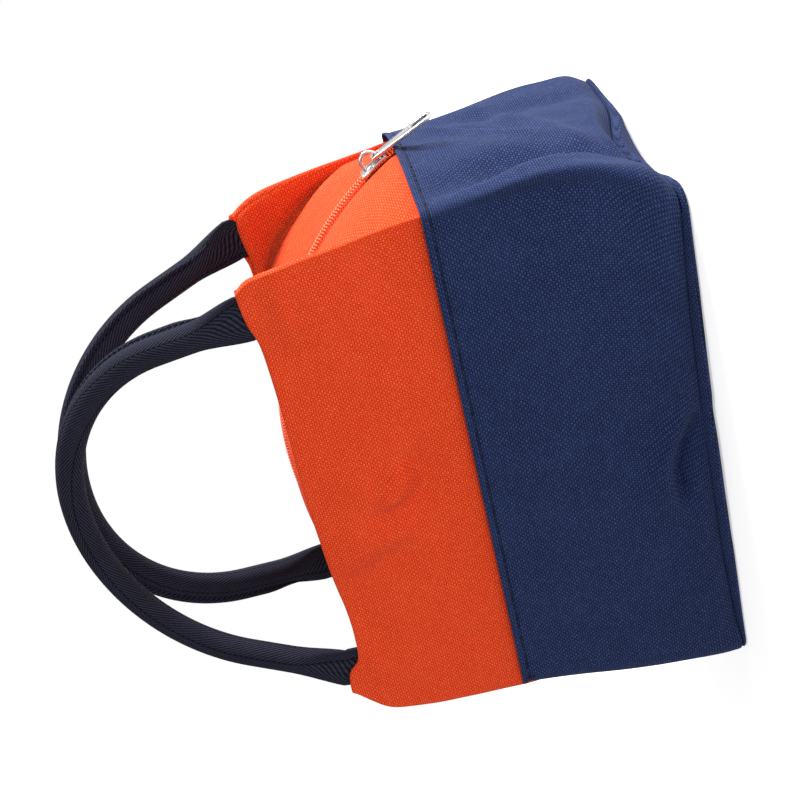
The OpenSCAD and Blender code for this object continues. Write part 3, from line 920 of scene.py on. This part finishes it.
def makeCoil(word, way):
    end = math.radians(zipEnd) * zipper["coilShare"]
    radius = lidRadius + zipper["coilRise"]
    turns = int(2 * end * radius / zipper["pitch"])
    curve = bpy.data.curves.new("coil", "CURVE")
    curve.dimensions = "3D"
    curve.bevel_depth, curve.bevel_resolution = zipper["wire"] * mm, 1
    spline = curve.splines.new("POLY")
    total = turns * zipper["turnPoints"]
    spline.points.add(total)
    middle = (zipper["loopInner"] + zipper["loopOuter"]) / 2
    halfWidth = (zipper["loopOuter"] - zipper["loopInner"]) / 2
    shift = 0.5 if way > 0 else 0.0  # the two coils mesh tooth by tooth
    for k in range(total + 1):
        turn = k / zipper["turnPoints"]
        wind = 2 * math.pi * turn
        angle = -end + (turn + shift) * zipper["pitch"] / radius
        y = way * (middle - halfWidth * math.cos(wind))
        point = onZip(angle, radius + zipper["loopHeight"] * math.sin(wind), y)
        spline.points[k].co = (*(point * mm), 1)
    source = bpy.data.objects.new("coil", curve)
    bpy.context.scene.collection.objects.link(source)
    bm = bmesh.new()
    bm.from_mesh(source.to_mesh())
    bpy.data.objects.remove(source)
    bpy.data.curves.remove(curve)
    piece = finishPiece(bm, "zip_coil_" + word + "_nylon", orangeCoil, closed=True)
    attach(piece, "bag")
    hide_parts("zip_coil_" + word)


for word, way in (("front", -1), ("back", 1)):
    makeTape(word, way)
    makeCoil(word, way)
print("zip tapes and coils")


softening = {"merge": 0.002, "flat": 2.0, "sharp": 40, "segments": 2}  # flat and sharp are angles


def softenedCopy(node, name, material, edge, body, change=None):  # a node with its edges rounded
    bm = bmesh.new()
    bm.from_mesh(bpy.data.objects[node].data)
    for vert in bm.verts if change else []:
        vert.co = change(vert.co / mm) * mm
    bmesh.ops.remove_doubles(bm, verts=bm.verts, dist=softening["merge"] * mm)
    bmesh.ops.dissolve_limit(
        bm, angle_limit=math.radians(softening["flat"]), verts=bm.verts, edges=bm.edges, delimit={"NORMAL"}
    )
    piece = finishPiece(bm, name, material)
    rim = piece.modifiers.new("edges", "BEVEL")
    rim.width, rim.segments = edge * mm, softening["segments"]
    rim.limit_method, rim.angle_limit = "ANGLE", math.radians(softening["sharp"])
    rim.harden_normals = True
    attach(piece, body)
    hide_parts(node)
    return piece


softenedCopy("zip_slider", "zip_slider_body", nickel, 0.22, "zip_slider")
softenedCopy("zip_pull_tab", "zip_pull_blade", nickel, 0.28, "pull_tab")
print("slider and pull tab")


handle = {
    "span": 172, "rise": 101, "gap": 3, "legLean": 14,
    "fullRadius": 6.25, "foldOffset": 2.25,  # the lean is worked out with these; the offset is from the fold
    "diameter": 12.2, "flatten": 0.92,
    "endWidth": 19.5, "endThick": 2.5, "flatRun": 26, "endDepth": 15,
    "around": 40, "step": 3.2, "girth": 39.2,  # the girth is the weave's width once round
    "seamAngle": 38, "spineAngle": -14, "twist": -46,
    "finHeight": 2.6, "finThick": 1.7, "finWeave": 8, "finAround": 10, "finStep": 3, "finFade": 22,
    "seamInset": 8, "seamPoints": 160,
    "paddingClear": 12,  # the padding ends this far above the fold
    "bendBelow": 0.6, "bendAbove": 2.2,  # the stretch of webbing about the fold; its ends are worked out but not used
}
handleThread = {"stitch": 2.4, "gap": 0.7, "width": 0.5, "overrun": 0.15}
foldY = joints["back_handle_fold"]["pos_m"][1] / mm
foldZ = joints["back_handle_fold"]["pos_m"][2] / mm
leanReach = foldY - handle["fullRadius"] - handle["gap"] / 2
handleLean = math.asin(leanReach / math.hypot(handle["rise"], handle["foldOffset"]))
handleLean -= math.atan(handle["foldOffset"] / handle["rise"])
legLean = math.radians(handle["legLean"])
halfSpan = handle["span"] / 2
archRadius = (halfSpan * math.cos(legLean) - handle["rise"] * math.sin(legLean)) / (1 - math.sin(legLean))
archCentre = handle["rise"] - archRadius
legLength = (halfSpan - archRadius * math.cos(legLean)) / math.sin(legLean)
archAngle = math.pi - 2 * legLean
runLength = 2 * legLength + archRadius * archAngle


def handleSpot(distance):  # place and direction on the handle's middle line, in its own XZ plane
    if distance < legLength:
        direction = Vector((math.sin(legLean), 0, math.cos(legLean)))
        return Vector((-halfSpan, 0, 0)) + direction * distance, direction
    if distance > runLength - legLength:
        direction = Vector((math.sin(legLean), 0, -math.cos(legLean)))
        return Vector((halfSpan, 0, 0)) - direction * (runLength - distance), direction
    angle = math.pi - legLean - (distance - legLength) / archRadius
    spot = Vector((archRadius * math.cos(angle), 0, archCentre + archRadius * math.sin(angle)))
    return spot, Vector((math.sin(angle), 0, -math.cos(angle)))


def leanIn(local, way):  # from the handle's own plane to its place over the bag; way is -1 at the front
    y = handle["foldOffset"] + local.y
    inward = y * math.cos(handleLean) + local.z * math.sin(handleLean)
    z = foldZ - y * math.sin(handleLean) + local.z * math.cos(handleLean)
    return Vector((local.x, way * (foldY - inward), z))


def handleSection(distance):  # half width, half thickness and squareness
    fromEnd = min(distance, runLength - distance)
    roundness = smooth(-1, handle["flatRun"], fromEnd)
    radius, endWide, endThick = handle["diameter"] / 2, handle["endWidth"] / 2, handle["endThick"] / 2
    wide = endWide + (radius - endWide) * roundness
    thick = endThick + (radius * handle["flatten"] - endThick) * roundness
    return wide, thick, 0.45 + 0.55 * roundness


def sectionPoint(distance, angle, way):  # angle 0 points out of the arch, 90 degrees to the inside
    clamped = max(1.0, min(runLength - 1.0, distance))
    wide, thick, power = handleSection(distance)
    spot, direction = handleSpot(clamped)
    outward = Vector((-direction.z, 0, direction.x))
    cosine, sine = math.cos(angle), math.sin(angle)
    a = math.copysign(abs(cosine) ** power, cosine) * wide
    b = math.copysign(abs(sine) ** power, sine) * thick
    below = max(0.0, clamped - distance if distance < clamped else distance - clamped)
    local = spot + outward * a + Vector((0, b, 0))
    if below > 0:  # inside the ear the flat end goes straight down between the plies
        side = -1 if distance < clamped else 1
        start = leanIn(Vector((spot.x, 0, spot.z)), way)
        z = start.z - below
        between = panelSkin(side * halfSpan, z, way > 0) - 2.75 - 0.3 * smooth(0, 20, below)
        depth = abs(start.y) + (between - abs(start.y)) * smooth(0, 7, below)
        return Vector((side * halfSpan + outward.x * a, way * (depth - b), z))
    return leanIn(local, way)


def makeHandle(word, way):
    depth = handle["endDepth"]
    length = runLength + 2 * depth
    rows = int(length / handle["step"])
    spine = math.radians(handle["spineAngle"])

    def placeWebbing(u, v):
        distance = v * length - depth
        angle = 2 * math.pi * u
        twist = handle["twist"] * smooth(0.45 * runLength, 0.8 * runLength, distance) / 360
        across = (u - spine / math.tau - twist) * handle["girth"]
        return sectionPoint(distance, angle, way), (across, distance)

    bm = clothGrid(handle["around"], rows, placeWebbing, joined=True)
    ends = [e for e in bm.edges if e.is_boundary]
    bmesh.ops.holes_fill(bm, edges=ends, sides=0)
    piece = finishPiece(bm, word + "_handle_cloth", darkWebbing, closed=True)
    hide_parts(word + "_handle_webbing", word + "_handle_ends")
    start = Vector((0, way * foldY, foldZ - handle["bendBelow"])) * mm
    end = Vector((0, way * foldY, foldZ + handle["bendAbove"])) * mm
    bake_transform(piece)

    first, last = handle["flatRun"] * 0.45, runLength - handle["flatRun"] * 0.45
    seamAngle = math.radians(handle["seamAngle"])

    def seamPlace(distance, out, across):  # a point over the long seam, on the selvedge that stands up there
        fade = smooth(first, first + handle["finFade"], distance)
        fade *= 1 - smooth(last - handle["finFade"], last, distance)
        skin = sectionPoint(distance, seamAngle, way)
        centre = leanIn(handleSpot(distance)[0], way)
        normal = (skin - centre).normalized()
        side = normal.cross(leanIn(handleSpot(distance + 0.5)[0], way) - centre).normalized()
        return skin + normal * out * fade + side * across

    def placeFin(u, v):
        distance = first + (last - first) * v
        angle = 2 * math.pi * u
        out = handle["finHeight"] * (0.25 + 0.75 * math.cos(angle))
        across = handle["finThick"] / 2 * math.sin(angle)
        return seamPlace(distance, out, across), (u * handle["finWeave"], distance)

    bm = clothGrid(handle["finAround"], int((last - first) / handle["finStep"]), placeFin, joined=True)
    bmesh.ops.holes_fill(bm, edges=[e for e in bm.edges if e.is_boundary], sides=0)
    fin = finishPiece(bm, word + "_handle_selvedge", darkWebbing, closed=True)
    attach(fin, word + "_handle")

    for side, across in (("inner", -1), ("outer", 1)):
        path = []
        for k in range(handle["seamPoints"] + 1):
            run = (last - first - 2 * handle["seamInset"]) * k / handle["seamPoints"]
            distance = first + handle["seamInset"] + run
            path.append(seamPlace(distance, handle["finHeight"] * 0.55, across * handle["finThick"] * 0.5))
        seam = stitchRow(word + "_handle_seam_" + side, path, handleThread, navyThread)
        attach(seam, word + "_handle")
        if side == "inner":
            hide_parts(word + "_handle_thread")


def easePadding(co):
    return Vector((co.x, co.y, max(co.z, foldZ + handle["paddingClear"])))


for word, way in (("front", -1), ("back", 1)):
    makeHandle(word, way)
    core, padding = word + "_handle_core", word + "_handle_padding"
    softenedCopy(core, padding, whitePadding, 0.3, word + "_handle", easePadding)
print("handles")


inside = {
    "foamEdge": 1.0, "foilEdge": 0.1,
    "wallLength": 0.955, "wallDepth": 0.94, "wallFoot": 9.0,  # sizes beside the plain bag's
    "baseLength": 0.93, "baseDepth": 0.90, "floorRise": 2.5,
    "lidLength": 0.97, "lidDrop": 2.2,
}


def easeWall(co):  # a little further in than the cloth, which sags, and clear of the base seam
    return Vector((co.x * inside["wallLength"], co.y * inside["wallDepth"], max(co.z, inside["wallFoot"])))


def easeBase(co):
    return Vector((co.x * inside["baseLength"], co.y * inside["baseDepth"], co.z + inside["floorRise"]))


def easeLid(co):
    return Vector((co.x * inside["lidLength"], co.y * inside["wallDepth"], co.z - inside["lidDrop"]))


for word in ("front", "back", "left", "right", "base", "lid_front", "lid_back"):
    ease = easeBase if word == "base" else easeLid if "lid" in word else easeWall
    softenedCopy("insulation_" + word, "foam_" + word, whiteFoam, inside["foamEdge"], "bag", ease)
    softenedCopy("lining_" + word, "foil_" + word, silverFoil, inside["foilEdge"], "bag", ease)
print("foam and foil")


studio = {
    "floor": 1.6, "floorGlow": 0.5,
    "ambient": 0.40,  # light from all round; the background itself is seen white
    "lamps": {  # place, what it points at, size across and power
        "side_light": ((3.35, 1.7, 1.45), (0.08, 0, 0.1), 2.0, 455.0),
        "front_light": ((1.0, -2.4, 3.0), (0, 0, 0.12), 1.2, 60.0),
    },
    "azimuth": 27.57, "elevation": 1.89, "distance": 654.85, "target": (12.04, 0, 118.16),
    "turn": 104.64, "lens": 68.1795, "sensor": 36.0,
}

bm = bmesh.new()
bmesh.ops.create_grid(bm, x_segments=1, y_segments=1, size=studio["floor"])
floorMesh = bpy.data.meshes.new("floor")
bm.to_mesh(floorMesh)
bm.free()
floor = bpy.data.objects.new("floor", floorMesh)
bpy.context.scene.collection.objects.link(floor)
floorMaterial, shader = newMaterial("pale_floor", {
    "Roughness": 0.9, "Specular IOR Level": 0.1,
    "Emission Color": (1, 1, 1, 1), "Emission Strength": studio["floorGlow"],
})
floorTone = mixColour(cloudy(objectPlace(), 400), (0.80, 0.80, 0.80, 1), (0.82, 0.82, 0.82, 1))
connect(shader, Base_Color=floorTone)
floor.data.materials.append(floorMaterial)

world = bpy.data.worlds.new("studio")
world.use_nodes = True
Wire.tree = world.node_tree
background = world.node_tree.nodes["Background"]
background.inputs["Color"].default_value = (1, 1, 1, 1)
seen = wire("ShaderNodeLightPath", "Is Camera Ray")
strength = seen * (1 - studio["ambient"]) + studio["ambient"]
Wire.tree.links.new(strength.socket, background.inputs["Strength"])
bpy.context.scene.world = world
bpy.context.scene.view_settings.view_transform = "Standard"
bpy.context.scene.view_settings.look = "None"


def addLamp(name, place, aim, size, power):
    lamp = bpy.data.lights.new(name, "AREA")
    lamp.shape, lamp.size, lamp.energy = "DISK", size, power
    holder = bpy.data.objects.new(name, lamp)
    holder.location = place
    holder.rotation_mode = "QUATERNION"
    holder.rotation_quaternion = (Vector(aim) - Vector(place)).to_track_quat("-Z", "Y")
    bpy.context.scene.collection.objects.link(holder)


for name, (place, aim, size, power) in studio["lamps"].items():
    addLamp(name, place, aim, size, power)

azimuth, elevation = math.radians(studio["azimuth"]), math.radians(studio["elevation"])
toCamera = Vector((
    math.sin(azimuth) * math.cos(elevation), -math.cos(azimuth) * math.cos(elevation), math.sin(elevation)
))
camera = bpy.data.cameras.new("camera")
camera.sensor_width = studio["sensor"]
camera.lens = studio["lens"]
camera.clip_start, camera.clip_end = 0.01, 20
cameraHolder = bpy.data.objects.new("camera", camera)
cameraHolder.location = (Vector(studio["target"]) + toCamera * studio["distance"]) * mm
cameraHolder.rotation_mode = "QUATERNION"
roll = Quaternion((0, 0, 1), -math.radians(studio["turn"]))
cameraHolder.rotation_quaternion = toCamera.to_track_quat("Z", "Y") @ roll
bpy.context.scene.collection.objects.link(cameraHolder)
bpy.context.scene.camera = cameraHolder
print("floor, light and camera")

bpy.context.view_layer.update()
